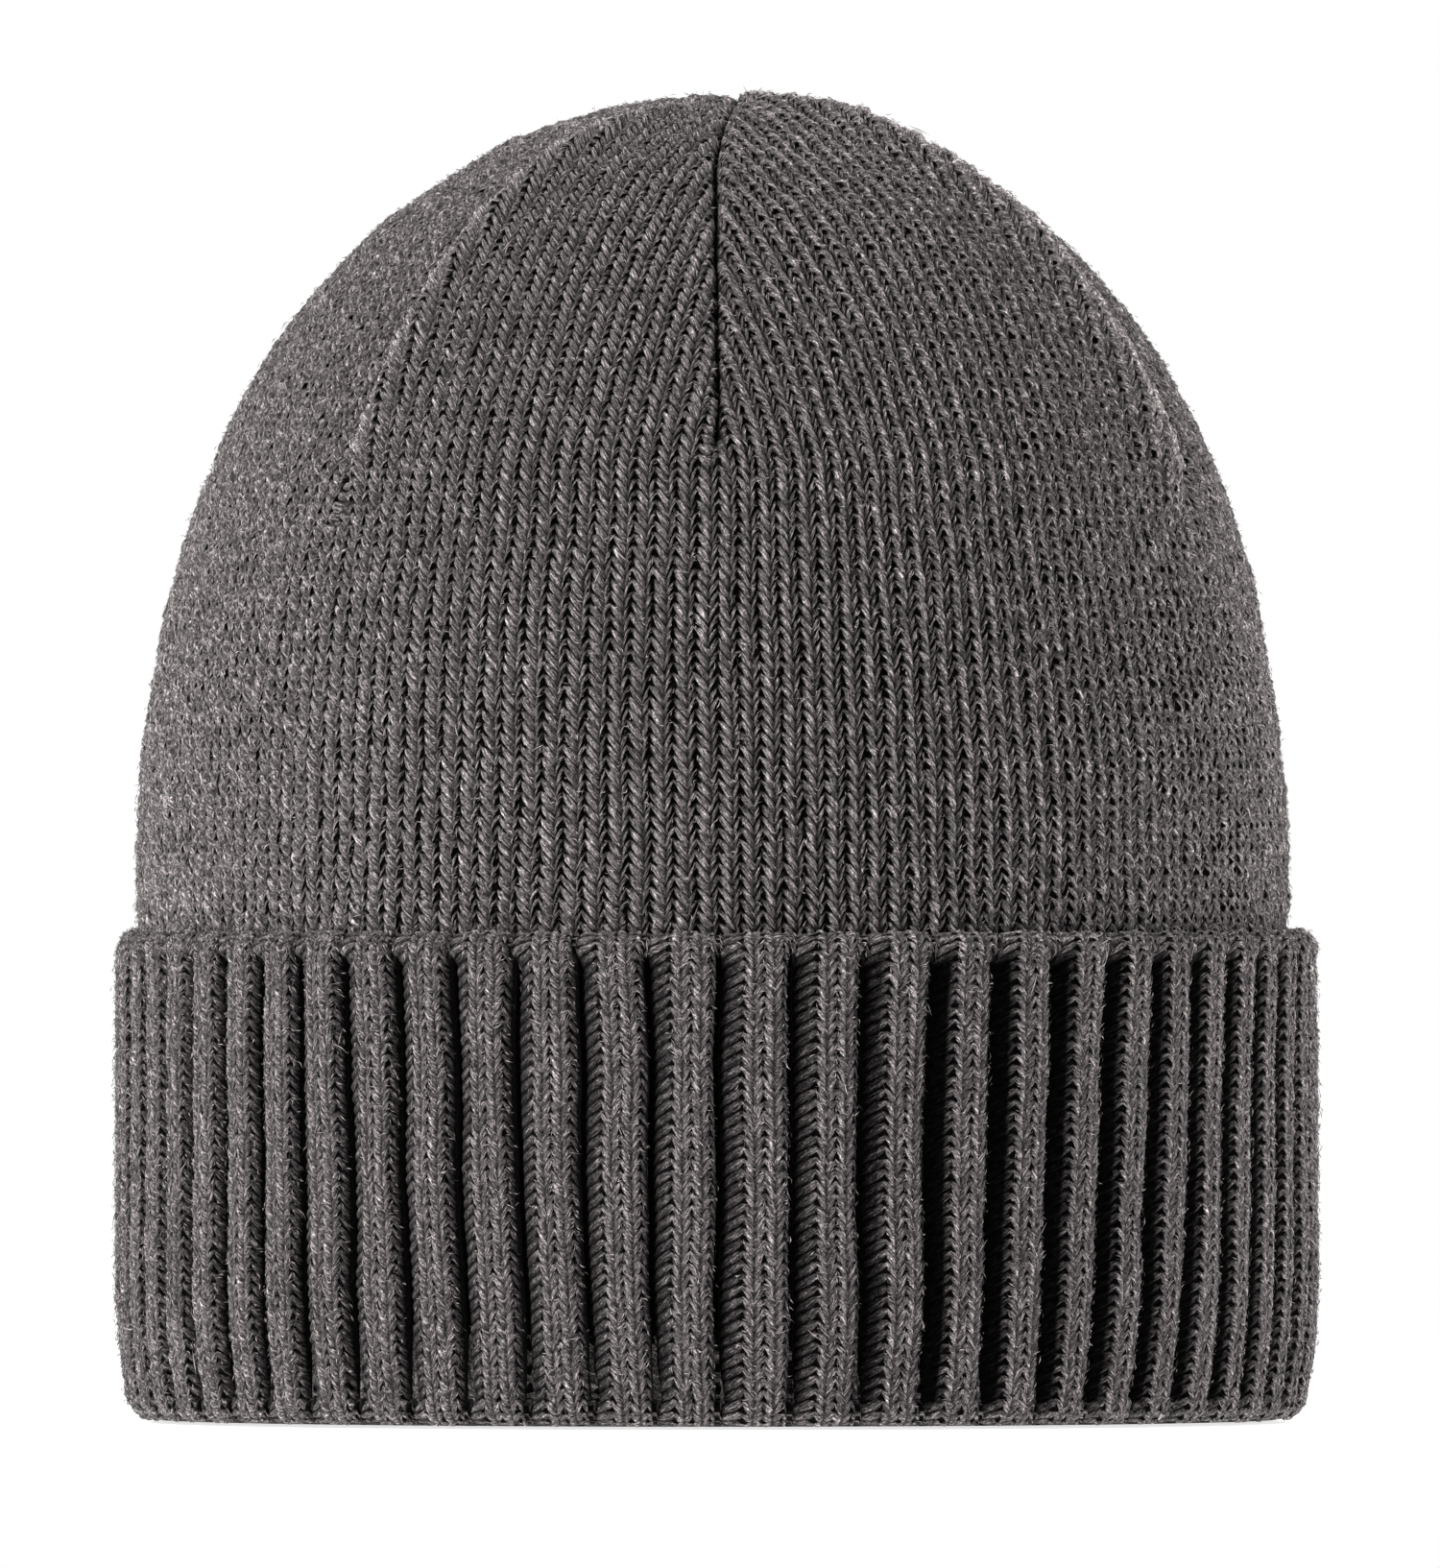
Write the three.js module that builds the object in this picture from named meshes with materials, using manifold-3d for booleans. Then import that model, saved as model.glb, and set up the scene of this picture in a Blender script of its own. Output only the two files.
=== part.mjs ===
// Cuffed knit beanie: a jersey-knit crown closed by six sewn darts, a 2x2 rib band that continues it,
// and the turned-up rib cuff. Millimetres, +Z up, the wearer's face towards -Y.
// The origin is the middle of the plane that the folded bottom edge rests on.
import * as THREE from "three";
import { mergeVertices } from "three/addons/utils/BufferGeometryUtils.js";
import Module from "manifold-3d";

const wasm = await Module();
wasm.setup();

// Driving dimensions.
const HEIGHT = 189;
const DEPTH_PER_WIDTH = 1.22;
const CUFF_HALF_WIDTH = 86;
const CUFF_HEIGHT = 70;
const CUFF_PLY = 3.8;
const RIB_COUNT = 56;
const RIB_DEPTH = 2.6;
const CROWN_HALF_WIDTH = 81.9;
const CROWN_WALL = 2.2;
const BAND_WALL = 3;
const BAND_RIB_DEPTH = 1.1;
const GAP = 0.3;

// The dome's section: (z / top)^RISE + (r / base)^SPREAD = 1.
const DOME_RISE = 2.2;
const DOME_SPREAD = 2.1;

// The crown is knitted on to the band just below the cuff's top edge, so the join is behind the cuff.
const DOME_BASE_Z = CUFF_HEIGHT;
const CROWN_BOTTOM_Z = CUFF_HEIGHT - 10;
const FOLD_LIP = 2.2;
const CROWN_SIDES = 64;

// Each dart: its place round the crown in degrees, from the front towards +X, and where it starts.
const DARTS = [
  { name: "front", at: 0.5, startZ: 136 },
  { name: "right", at: 66, startZ: 128 },
  { name: "back_right", at: 127, startZ: 130 },
  { name: "back", at: 188, startZ: 132 },
  { name: "back_left", at: 250, startZ: 130 },
  { name: "left", at: 314.5, startZ: 129 },
];
const SEAM_DEPTH = 4.5;
const SEAM_THICKNESS = 2.4;
const SEAM_END_R = 6.5;
const THREAD_R = 0.55;

const LABEL_WIDTH = 28;
const LABEL_LENGTH = 42;
const LABEL_THICKNESS = 0.6;
const LABEL_CORNER = 2;
const LABEL_AXIS_Y = 93;
const LABEL_AXIS_Z = 68;

const colour = { yarn: 0x544f4e, darkYarn: 0x3a3736, thread: 0x2b2827, label: 0xe8e6e1 };
const finish = (hex, roughness) =>
  new THREE.MeshStandardMaterial({ color: hex, roughness, metalness: 0 });

// Radius of the dome, on the X axis, at height z; inset moves it inwards by a wall's thickness.
function domeRadius(z, inset = 0) {
  const base = CROWN_HALF_WIDTH - inset;
  const rise = (z - DOME_BASE_Z) / (HEIGHT - inset - DOME_BASE_Z);
  if (rise <= 0) return base;
  return base * (1 - Math.min(rise, 1) ** DOME_RISE) ** (1 / DOME_SPREAD);
}

// Height of the dome at radius r on the X axis.
function domeHeight(r, inset = 0) {
  const span = HEIGHT - inset - DOME_BASE_Z;
  const share = r / (CROWN_HALF_WIDTH - inset);
  return DOME_BASE_Z + span * (1 - share ** DOME_SPREAD) ** (1 / DOME_RISE);
}

// Points up the dome from startZ to radius endR, evenly spread along the curve.
function domeCurve(startZ, endR, inset, count) {
  const startR = domeRadius(startZ, inset);
  const points = [];
  for (let i = 0; i <= count; i++) {
    const turn = (i / count) * (Math.PI / 2);
    const r = endR + (startR - endR) * Math.cos(turn);
    points.push(new THREE.Vector2(r, i === 0 ? startZ : domeHeight(r, inset)));
  }
  return points;
}

// A lathe turned to stand along +Z, with its depth stretched to the oval plan.
function ovalLathe(profile, sides) {
  const geometry = new THREE.LatheGeometry(profile, sides);
  geometry.rotateX(Math.PI / 2);
  geometry.scale(1, DEPTH_PER_WIDTH, 1);
  return geometry;
}

// The closed oval at a half width, as count points an even step apart, starting at the front.
// Ribs cut a wave of that depth inwards, with one of its grooves at the front and one at the back.
function ovalPoints(halfWidth, count, ribDepth = 0) {
  const front = -Math.PI / 2;
  const oval = new THREE.EllipseCurve(
    0, 0, halfWidth, halfWidth * DEPTH_PER_WIDTH, front, front + Math.PI * 2,
  );
  oval.arcLengthDivisions = 800;
  const points = oval.getSpacedPoints(count).slice(0, count);
  points.forEach((point, i) => {
    const wave = (ribDepth / 2) * (1 + Math.cos((i / count) * RIB_COUNT * Math.PI * 2));
    point.multiplyScalar(1 - wave / point.length());
  });
  return points;
}

function ovalRing(outer, inner, bottomZ, height) {
  const shape = new THREE.Shape(outer);
  shape.holes.push(new THREE.Path(inner));
  const geometry = new THREE.ExtrudeGeometry(shape, { depth: height, bevelEnabled: false });
  return geometry.translate(0, 0, bottomZ);
}

function toSolid(geometry) {
  const bare = geometry.clone();
  bare.deleteAttribute("normal");
  bare.deleteAttribute("uv");
  const merged = mergeVertices(bare, 1e-4);
  return new wasm.Manifold(
    new wasm.Mesh({
      numProp: 3,
      vertProperties: merged.attributes.position.array,
      triVerts: new Uint32Array(merged.index.array),
    }),
  );
}

function fromSolid(solid) {
  const mesh = solid.getMesh();
  const geometry = new THREE.BufferGeometry();
  geometry.setAttribute("position", new THREE.BufferAttribute(mesh.vertProperties, 3));
  geometry.setIndex(new THREE.BufferAttribute(mesh.triVerts, 1));
  return geometry;
}

const beanie = new THREE.Group();

function add(name, geometry, material, parent = beanie) {
  const mesh = new THREE.Mesh(geometry, material);
  mesh.name = name;
  parent.add(mesh);
  return mesh;
}

// A thread of round section along a path.
function thread(path, steps, radius = THREAD_R) {
  const section = new THREE.Shape().absarc(0, 0, radius, 0, Math.PI * 2);
  const options = { steps, extrudePath: path, bevelEnabled: false, curveSegments: 2 };
  return new THREE.ExtrudeGeometry(section, options);
}

// Crown: one dome of plain knit, open below.
function makeCrown() {
  const outer = domeCurve(CROWN_BOTTOM_Z, 0, 0, 13);
  const inner = domeCurve(CROWN_BOTTOM_Z, 0, CROWN_WALL, 11).reverse();
  outer.splice(1, 0, new THREE.Vector2(CROWN_HALF_WIDTH, DOME_BASE_Z));
  inner.splice(-1, 0, new THREE.Vector2(CROWN_HALF_WIDTH - CROWN_WALL, DOME_BASE_Z));
  const profile = [...outer, ...inner, outer[0].clone()];
  add("crown", ovalLathe(profile, CROWN_SIDES), finish(colour.yarn, 0.95));
}

// Rib band: the inner ply, from just above the fold to the crown's lower edge.
function makeRibBand() {
  const outer = ovalPoints(CROWN_HALF_WIDTH, RIB_COUNT * 4, BAND_RIB_DEPTH);
  const inner = ovalPoints(CROWN_HALF_WIDTH - BAND_WALL, 72);
  const bottomZ = FOLD_LIP + GAP;
  const ring = ovalRing(outer, inner, bottomZ, CROWN_BOTTOM_Z - GAP - bottomZ);
  add("rib_band", ring, finish(colour.yarn, 0.95));
}

// Cuff: the turned-up outer ply, with the lip of the fold reaching in under the rib band.
function makeCuff() {
  const wall = ovalRing(
    ovalPoints(CUFF_HALF_WIDTH, RIB_COUNT * 5, RIB_DEPTH),
    ovalPoints(CUFF_HALF_WIDTH - CUFF_PLY, 72),
    0,
    CUFF_HEIGHT,
  );
  const lip = ovalRing(
    ovalPoints(CUFF_HALF_WIDTH - RIB_DEPTH - 0.6, 72),
    ovalPoints(CROWN_HALF_WIDTH - BAND_WALL, 72),
    0,
    FOLD_LIP,
  );
  add("cuff", fromSolid(toSolid(wall).add(toSolid(lip))), finish(colour.yarn, 0.95));
}

// Inside each dart the cut edges stand inwards as a fin, and a thread chain runs along the fin's edge.
// The fin is drawn in its own upright plane and turned to its place round the oval.
function makeDart({ name, at, startZ }) {
  const turn = THREE.MathUtils.degToRad(at);
  const across = Math.sin(turn);
  const along = Math.cos(turn) * DEPTH_PER_WIDTH;
  const reach = Math.hypot(across, along);
  const clear = GAP * 3;
  const place = (points) => points.map((p) => new THREE.Vector2(p.x * reach, p.y));
  const seat = place(domeCurve(startZ, SEAM_END_R, CROWN_WALL + clear, 12));
  const edge = place(domeCurve(startZ + 1, SEAM_END_R, CROWN_WALL + clear + SEAM_DEPTH, 12));
  const options = { depth: SEAM_THICKNESS, bevelEnabled: false };
  const fin = new THREE.ExtrudeGeometry(new THREE.Shape([...seat, ...edge.reverse()]), options);
  fin.translate(0, 0, -SEAM_THICKNESS / 2);

  const chainInset = CROWN_WALL + clear + SEAM_DEPTH + GAP + THREAD_R * 1.5;
  const chainLine = place(domeCurve(startZ + 3, SEAM_END_R + 1, chainInset, 12));
  const chainPath = new THREE.CatmullRomCurve3(chainLine.map((p) => new THREE.Vector3(p.x, p.y, 0)));

  // Local X is outwards and local Y is up.
  const plane = new THREE.Group();
  const outwards = new THREE.Vector3(across, -along, 0).normalize();
  const up = new THREE.Vector3(0, 0, 1);
  const side = new THREE.Vector3().crossVectors(outwards, up);
  plane.setRotationFromMatrix(new THREE.Matrix4().makeBasis(outwards, up, side));
  beanie.add(plane);
  add(`dart_seam_${name}`, fin, finish(colour.darkYarn, 0.95), plane);
  add(`dart_thread_${name}`, thread(chainPath, 16), finish(colour.thread, 0.8), plane);
}

// Knot that draws the six dart tips together under the top of the crown.
function makeTopKnot() {
  const knotR = 3;
  const knotHeight = 3.4;
  const topZ = HEIGHT - CROWN_WALL - GAP * 2;
  const profile = [];
  for (let i = 0; i <= 8; i++) {
    const turn = (i / 8) * Math.PI - Math.PI / 2;
    const r = i === 0 || i === 8 ? 0 : knotR * Math.cos(turn);
    profile.push(new THREE.Vector2(r, topZ + (knotHeight / 2) * (Math.sin(turn) - 1)));
  }
  add("top_knot", ovalLathe(profile, 20), finish(colour.thread, 0.8));
}

// Back seam: the thread chain that closes the knitted piece at the back, inside crown and band.
function makeBackSeam() {
  const hug = GAP + THREAD_R;
  const points = [];
  const bandInner = CROWN_HALF_WIDTH - BAND_WALL;
  const turnInZ = CROWN_BOTTOM_Z - 5;
  for (const z of [FOLD_LIP + GAP + 3, 20, 40, turnInZ]) {
    points.push(new THREE.Vector3(0, bandInner * DEPTH_PER_WIDTH - hug, z));
  }
  for (const z of [CROWN_BOTTOM_Z + 6, 85, 100, 114, 126]) {
    const wall = domeRadius(z, CROWN_WALL) * DEPTH_PER_WIDTH;
    points.push(new THREE.Vector3(0, wall - hug - GAP, z));
  }
  const path = new THREE.CatmullRomCurve3(points);
  add("back_seam_thread", thread(path, 28), finish(colour.thread, 0.8));
}

// The same seam on the cuff: a chain along the bottom of the rear groove, on the outside.
function makeCuffSeam() {
  const y = CUFF_HALF_WIDTH * DEPTH_PER_WIDTH - RIB_DEPTH + GAP + THREAD_R;
  const path = new THREE.LineCurve3(
    new THREE.Vector3(0, y, 4),
    new THREE.Vector3(0, y, CUFF_HEIGHT - 4),
  );
  add("cuff_seam_thread", thread(path, 8), finish(colour.thread, 0.8));
}

// Care label, hanging inside the back from its sewn upper edge, and the row of stitches that holds it.
function makeLabel() {
  const half = LABEL_WIDTH / 2;
  const topY = -(THREAD_R + GAP);
  const bottomY = topY - LABEL_LENGTH;
  const outline = new THREE.Shape();
  outline.moveTo(-half, topY);
  outline.lineTo(-half, bottomY + LABEL_CORNER);
  outline.absarc(-half + LABEL_CORNER, bottomY + LABEL_CORNER, LABEL_CORNER, Math.PI, Math.PI * 1.5);
  outline.absarc(half - LABEL_CORNER, bottomY + LABEL_CORNER, LABEL_CORNER, -Math.PI / 2, 0);
  outline.lineTo(half, topY);
  const options = { depth: LABEL_THICKNESS, bevelEnabled: false, curveSegments: 5 };
  const label = new THREE.ExtrudeGeometry(outline, options);
  label.translate(0, 0, -LABEL_THICKNESS / 2);

  const hanging = new THREE.Group();
  hanging.position.set(0, LABEL_AXIS_Y, LABEL_AXIS_Z);
  hanging.rotation.x = Math.PI / 2;
  beanie.add(hanging);
  add("care_label", label, finish(colour.label, 0.7), hanging);

  const waves = 9;
  const points = [];
  for (let i = 0; i <= waves * 2; i++) {
    const x = -half + 1 + (i / (waves * 2)) * (LABEL_WIDTH - 2);
    points.push(new THREE.Vector3(x, LABEL_AXIS_Y + (i % 2 ? 0.12 : -0.12), LABEL_AXIS_Z));
  }
  const path = new THREE.CatmullRomCurve3(points);
  add("label_stitches", thread(path, 36, THREAD_R * 0.8), finish(colour.thread, 0.8));
}

makeCrown();
makeRibBand();
makeCuff();
DARTS.forEach(makeDart);
makeTopKnot();
makeBackSeam();
makeCuffSeam();
makeLabel();

export default beanie;
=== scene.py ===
import math

import bpy
import numpy as np
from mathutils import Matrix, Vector


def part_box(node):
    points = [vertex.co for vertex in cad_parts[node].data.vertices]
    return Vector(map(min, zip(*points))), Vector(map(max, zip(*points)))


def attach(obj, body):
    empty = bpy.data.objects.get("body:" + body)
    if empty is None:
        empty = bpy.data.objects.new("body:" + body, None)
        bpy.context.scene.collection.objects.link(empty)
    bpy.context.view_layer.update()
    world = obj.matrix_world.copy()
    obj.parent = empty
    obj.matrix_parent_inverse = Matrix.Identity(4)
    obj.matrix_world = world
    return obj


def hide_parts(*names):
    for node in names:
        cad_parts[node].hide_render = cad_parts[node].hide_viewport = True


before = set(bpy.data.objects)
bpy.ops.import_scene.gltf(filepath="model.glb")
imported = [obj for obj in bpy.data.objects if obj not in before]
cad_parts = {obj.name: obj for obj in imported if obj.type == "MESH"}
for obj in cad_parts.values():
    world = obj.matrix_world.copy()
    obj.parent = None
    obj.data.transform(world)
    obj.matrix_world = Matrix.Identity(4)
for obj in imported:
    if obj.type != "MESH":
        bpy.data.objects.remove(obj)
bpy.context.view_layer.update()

MM = 0.001


def box_mm(node):
    low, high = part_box(node)
    return np.array(low) / MM, np.array(high) / MM


# ------------------------------ sizes, from the frame

CROWN_LOW, CROWN_HIGH = box_mm("crown")
CUFF_LOW, CUFF_HIGH = box_mm("cuff")
CROWN_R = CROWN_HIGH[0]
DEPTH = CROWN_HIGH[1] / CROWN_R
TOP = CROWN_HIGH[2]
CROWN_BOTTOM = CROWN_LOW[2]
CUFF_R = CUFF_HIGH[0]
CUFF_TOP = CUFF_HIGH[2]
DOME_RISE = 2.2  # exponents of the dome's rounded section
DOME_SPREAD = 2.1

# ------------------------------ the crown's knit

WALES = 186  # columns of stitches round the crown
WALE_WIDTH = 3.1
COURSE = 1.68  # height of one row of stitches
LEG_SPLIT = 0.66  # share of a wale taken by its left leg
LEG_SLOPE = 1.4  # how many courses a leg climbs
ROWS = (0.0, 0.2, 0.5, 0.8)  # where the mesh rows fall in one course
LEG_STEPS = (0.0, 0.34, 0.67)  # and where its columns fall along one leg
CROWN_PLUMP = 0.72  # how round the yarn stands, from 0 to 1
CROWN_GAP = 0.85  # how far the yarn dives between two wales, from 0 to 1
YARN_HEIGHT = 1.25
WALL = 2.4  # the crown's thickness
LINING_PER_WALE = 2  # columns of purl bumps on the inside
APEX_SHIFT = 3.6  # the darts meet a little to +X of the top
APEX_CLEAR = 1.2  # the courses stop this far short of the top
APEX_SINK = 1.2  # and the point where they meet is drawn in
CROWN_SET_OFF = 0.55  # the crown sits a little to -X of the cuff
FOLD_HIGHLIGHT_RELIEF = 1.35  # the relief value that marks a painted highlight along a high fold

# How far the worn cloth stands off the plain dome, by height.
FULL_Z = (66, 85, 100, 134, 158, 172, 182, 189)
FULL_OUT = (-1.1, -0.9, -0.5, 0.3, -0.6, -1.1, -2.0, -1.5)

# Darts: azimuth in degrees from the front towards +X, the height where the crease starts, and how far
# the cloth stands up beside it.
DARTS = (
    (0.5, 137, 0.6), (66, 128, 0.3), (127, 131, 1.2), (188, 133, 0.8), (250, 131, 1.2), (314.5, 128, 0.8),
)
DART_RAMP = 4.0  # the crease reaches its full depth in this distance
DART_SETTLE = 12.0  # and the cloth beside it its full height in this one
CREASE_SINK, CREASE_HALF = 1.1, 1.2  # how far the cloth dips towards the crease, and over what distance
DART_LEAD = 1.5  # the wales start to run out this far below the crease
SIDE_MIDDLE, SIDE_REACH = 1.4, 3.6  # the usual place and width of the raised cloth, from the crease
# Where one side of a dart stands or sinks differently, by (dart, gore beside it): height, how far from
# the crease and how wide.
DART_SIDES = {
    (1, 0): (3.4, 3.8, 4.8), (1, 1): (-2.4, 5.5, 6.0), (5, 5): (2.3, 1.5, 2.8), (5, 4): (0.1, 1.4, 4.0),
}
CREASE_SHADE = (1.0, 0.5, 0.5, 0.7, 0.5, 0.5)  # how much painted shade darkens the cloth right beside each crease

# ------------------------------ the cuff's rib knit

RIBS = 56
RIB_HEIGHT = 3.4  # how far the ribs stand over the grooves
BAND_RIB = 1.5  # and on the band inside
CUFF_COURSE = 1.64
CUFF_SLOPE = 1.15
CUFF_PLUMP = 0.42
FLANK_PLUMP = 0.92
CUFF_GAP = 0.55
CUFF_INNER = 3.72  # from the ribs' crests to the cuff's inner face
# One rib's section: wales from its left edge, share across the pitch, and height. The left flank slopes and
# shows the side of its first wale; the right one drops into the groove.
RIB_SPLITS = (0.12, 0.48, 0.5, 0.5)
RIB_WALES = (0, 0.3, 1.0, 1.5, 2.0, 2.6, 3.0, 3.4, 4.0)
RIB_ACROSS = (0.035, 0.075, 0.35, 0.49, 0.62, 0.79, 0.895, 0.965, 0.955)
RIB_UP = (0.0, 0.46, 0.92, 0.99, 1.0, 0.98, 0.88, 0.5, 0.0)


# ------------------------------ helpers

def smooth(edge0, edge1, value):
    t = np.clip((value - edge0) / (edge1 - edge0), 0, 1)
    return t * t * (3 - 2 * t)


def soft_noise(x, y, period_x, seed, rows=512):
    """Smooth noise in -1..1 over x (which repeats after period_x whole cells) and y."""
    grid = np.random.default_rng(seed).uniform(-1, 1, (rows, period_x))
    xf, yf = np.floor(x), np.floor(y)
    tx, ty = x - xf, y - yf
    tx, ty = tx * tx * (3 - 2 * tx), ty * ty * (3 - 2 * ty)
    x0 = xf.astype(int) % period_x
    x1 = (x0 + 1) % period_x
    y0 = yf.astype(int) % rows
    y1 = (y0 + 1) % rows
    low = grid[y0, x0] * (1 - tx) + grid[y0, x1] * tx
    high = grid[y1, x0] * (1 - tx) + grid[y1, x1] * tx
    return low * (1 - ty) + high * ty


def per_stitch(wale, course, seed):
    """A random number in -1..1 for each stitch."""
    grid = np.random.default_rng(seed).uniform(-1, 1, (257, 263))
    return grid[np.mod(wale, 257).astype(int), np.mod(course, 263).astype(int)]


def unit(vectors):
    return vectors / np.linalg.norm(vectors, axis=-1, keepdims=True)


def running_length(points):
    steps = np.linalg.norm(np.diff(points, axis=0), axis=1)
    return np.concatenate([[0], np.cumsum(steps)])


def rise(at, step, places, values):
    """How much values, given at places, change from step before at to step after it."""
    return np.interp(at + step, places, values) - np.interp(at - step, places, values)


# The oval plan. arc is the share of the way round, from the front towards +X.
OVAL_T = np.linspace(0, 2 * math.pi, 7201)
OVAL_ARC = running_length(np.stack([np.sin(OVAL_T), -DEPTH * np.cos(OVAL_T)], 1))
OVAL_LENGTH = OVAL_ARC[-1]  # for a half width of 1
OVAL_ARC = OVAL_ARC / OVAL_LENGTH


def oval_turn(arc):
    return np.interp(np.mod(arc, 1), OVAL_ARC, OVAL_T)


def oval_arc(degrees):
    return float(np.interp(math.radians(degrees), OVAL_T, OVAL_ARC))


# The dome's section, by distance up an average meridian from the crown's lower edge.
SECTION_TURN = np.linspace(0, math.pi / 2, 4001)
SECTION_R = CROWN_R * np.cos(SECTION_TURN) ** (2 / DOME_SPREAD)
SECTION_Z = CUFF_TOP + (TOP - CUFF_TOP) * np.sin(SECTION_TURN) ** (2 / DOME_RISE)
SECTION_R = np.concatenate([[CROWN_R], SECTION_R])
SECTION_Z = np.concatenate([[CROWN_BOTTOM], SECTION_Z])
SECTION_V = running_length(np.stack([SECTION_R * (1 + DEPTH) / 2, SECTION_Z], 1))
CROWN_LENGTH = SECTION_V[-1]
CROWN_COURSES = int((CROWN_LENGTH - APEX_CLEAR) / COURSE)
CUFF_GIRTH = OVAL_LENGTH * CUFF_R

DART_ARCS = [oval_arc(azimuth) for azimuth, _, _ in DARTS]
DART_STARTS = [float(np.interp(z, SECTION_Z, SECTION_V)) for _, z, _ in DARTS]


def dome_point(arc, v, out):
    """Points on the dome, pushed out along its normal."""
    turn = oval_turn(arc)
    v = np.clip(v, 0, CROWN_LENGTH)
    r = np.interp(v, SECTION_V, SECTION_R)
    z = np.interp(v, SECTION_V, SECTION_Z)
    dr, dz = rise(v, 0.4, SECTION_V, SECTION_R), rise(v, 0.4, SECTION_V, SECTION_Z)
    sin, cos = np.sin(turn), np.cos(turn)
    normal = unit(np.stack([DEPTH * dz * sin, -dz * cos, -DEPTH * dr], -1))
    shift = APEX_SHIFT * smooth(0.45, 0.0, r / CROWN_R)
    base = np.stack([r * sin + shift - CROWN_SET_OFF, -DEPTH * r * cos, z], -1)
    return base + normal * out[..., None]


def knit_relief(x, y, wale, split, plump, gap):
    """Height of the yarn over the fabric's base for a place x across a wale and y up it.

    y is measured along the slanted legs, so that each whole number is one course."""
    course = np.floor(y)
    across = y - course
    round_yarn = (1 - np.abs(2 * across - 1) ** 2.6) ** 0.62
    left = x < split
    along = np.where(left, x / split, (x - split) / (1 - split))
    dive = np.abs(2 * along - 1) ** 3
    boundary = np.where(left, along < 0.5, along > 0.5)
    loose = 0.75 + 0.35 * per_stitch(np.round(wale + x), course, 4)
    ends = 1 - dive * np.where(boundary, gap * np.clip(loose, 0.3, 1.0), 0.6)
    # The right leg sits lower, and through the relief the knit materials paint it darker too, as painted
    # shade.
    side = np.where(left, 1.0, 0.74)
    uneven = 1 + 0.22 * per_stitch(wale * 2 + left, course, 3)
    return (1 - plump + plump * round_yarn) * ends * side * uneven


def leg_climb(x, split):
    """0 at the foot of the V and 1 at its tips."""
    return np.where(x < split, 1 - x / split, (x - split) / (1 - split))


def make_mesh(name, points, quads, tris, loop_uv, relief):
    """A smooth mesh. loop_uv is (knit uv, bake uv), each as (quad corners, tri corners)."""
    mesh = bpy.data.meshes.new(name)
    corners = np.concatenate([quads.ravel(), tris.ravel()]).astype(np.int32)
    totals = np.concatenate([np.full(len(quads), 4), np.full(len(tris), 3)]).astype(np.int32)
    starts = np.concatenate([[0], np.cumsum(totals)[:-1]]).astype(np.int32)
    mesh.vertices.add(len(points))
    mesh.vertices.foreach_set("co", (points * MM).astype(np.float32).ravel())
    mesh.loops.add(len(corners))
    mesh.loops.foreach_set("vertex_index", corners)
    mesh.polygons.add(len(totals))
    mesh.polygons.foreach_set("loop_start", starts)
    mesh.polygons.foreach_set("loop_total", totals)
    mesh.polygons.foreach_set("use_smooth", np.ones(len(totals), bool))
    for layer_name, (quad_uv, tri_uv) in loop_uv.items():
        layer = mesh.uv_layers.new(name=layer_name)
        uv = np.concatenate([quad_uv.reshape(-1, 2), tri_uv.reshape(-1, 2)])
        layer.data.foreach_set("uv", uv.astype(np.float32).ravel())
    attribute = mesh.attributes.new("relief", "FLOAT", "POINT")
    attribute.data.foreach_set("value", relief.astype(np.float32))
    mesh.update()
    mesh.validate()
    obj = bpy.data.objects.new(name, mesh)
    bpy.context.scene.collection.objects.link(obj)
    return obj


# ------------------------------ crown

def wale_steps(splits, steps=LEG_STEPS):
    """Mesh columns over a run of wales: (x within the run, x within the wale, wale, split)."""
    inside, number, cut = [], [], []
    for wale, split in enumerate(splits):
        inside += [q * split for q in steps]
        inside += [split + q * (1 - split) for q in steps]
        count = 2 * len(steps)
        number += [wale] * count
        cut += [split] * count
    inside = np.array(inside)
    number = np.array(number)
    return number + inside, inside, number, np.array(cut)


def body_wave(arc, v):
    """Slow unevenness of the cloth, in millimetres."""
    arc, v = np.broadcast_arrays(arc, v)
    wave = 0.45 * soft_noise(arc * 9, v / 26, 9, 41) + 0.3 * soft_noise(arc * 23, v / 12, 23, 42)
    return wave + np.interp(np.interp(v, SECTION_V, SECTION_Z), FULL_Z, FULL_OUT)


def off_the_top(v):
    """1 over most of the crown, and down to 0 where the darts run together."""
    return smooth(CROWN_LENGTH - 4, CROWN_LENGTH - 40, v)


def crease_start(dart, v):
    return smooth(DART_STARTS[dart] - 0.5, DART_STARTS[dart] + DART_RAMP, v)


def fold_start(dart, v):
    return smooth(DART_STARTS[dart], DART_STARTS[dart] + DART_SETTLE, v)


def dart_side(dart, gore):
    """How the cloth of a gore stands beside a dart: height, middle and reach."""
    return DART_SIDES.get((dart, gore), (DARTS[dart][2], SIDE_MIDDLE, SIDE_REACH))


def dart_offsets(arc, v):
    """For each dart, how far places on the crown are from it, in millimetres along the cloth."""
    girth = OVAL_LENGTH * np.interp(v, SECTION_V, SECTION_R)
    return [(np.mod(arc - dart_arc + 0.5, 1) - 0.5) * girth for dart_arc in DART_ARCS]


def fold_out(arc, v):
    """How far the cloth stands up or sinks beside the darts, in millimetres."""
    open_share = 0.2 + 0.8 * off_the_top(v)
    total = np.zeros(np.broadcast(arc, v).shape)
    for dart, offset in enumerate(dart_offsets(arc, v)):
        folds = []
        for gore in (dart, (dart - 1) % len(DARTS)):
            height, middle, reach = dart_side(dart, gore)
            folds.append(height * np.exp(-(((np.abs(offset) - middle) / reach) ** 2)))
        total = total + np.where(offset > 0, *folds) * open_share * fold_start(dart, v)
    return total


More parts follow.
